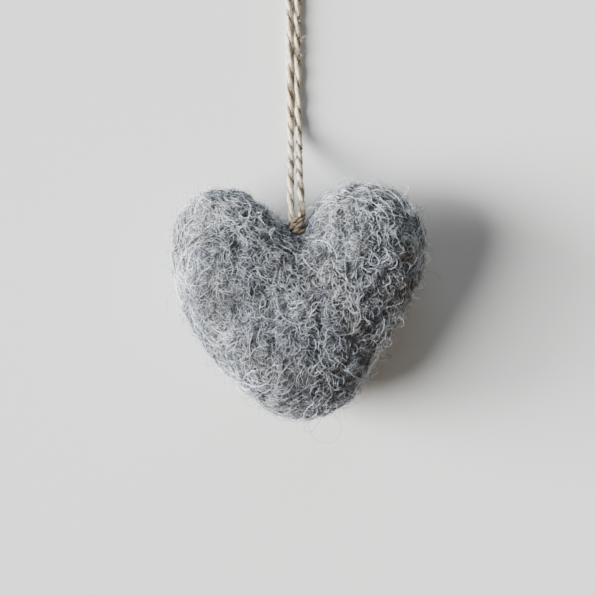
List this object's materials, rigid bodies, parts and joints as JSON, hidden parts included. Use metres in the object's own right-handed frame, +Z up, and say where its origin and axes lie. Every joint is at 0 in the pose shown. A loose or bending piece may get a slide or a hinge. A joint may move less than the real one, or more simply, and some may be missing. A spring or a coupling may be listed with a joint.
{
  "type": "felt heart ornament",
  "caption": "Plump heart ornament of needle-felted wool with a knotted jute twine loop for hanging.",
  "frame": {"origin": "under the middle of the heart's box, on the surface that its back lies on", "axes": "+Z up out of the heart's face, +Y from its tip to its cleft and along the twine, +X to the right seen from above"},
  "size_m": [0.063, 0.1416, 0.0292],
  "materials": {
    "wool_felt": "needle-felted grey wool, matted curly fibres in white, grey and charcoal, matt and fuzzy",
    "jute_twine": "two-ply jute twine, straw coloured, slightly hairy, matt"
  },
  "bodies": {
    "root": {"felt_heart": "wool_felt", "twine_loop": "jute_twine", "twine_knot": "jute_twine"}
  },
  "joints": []
}
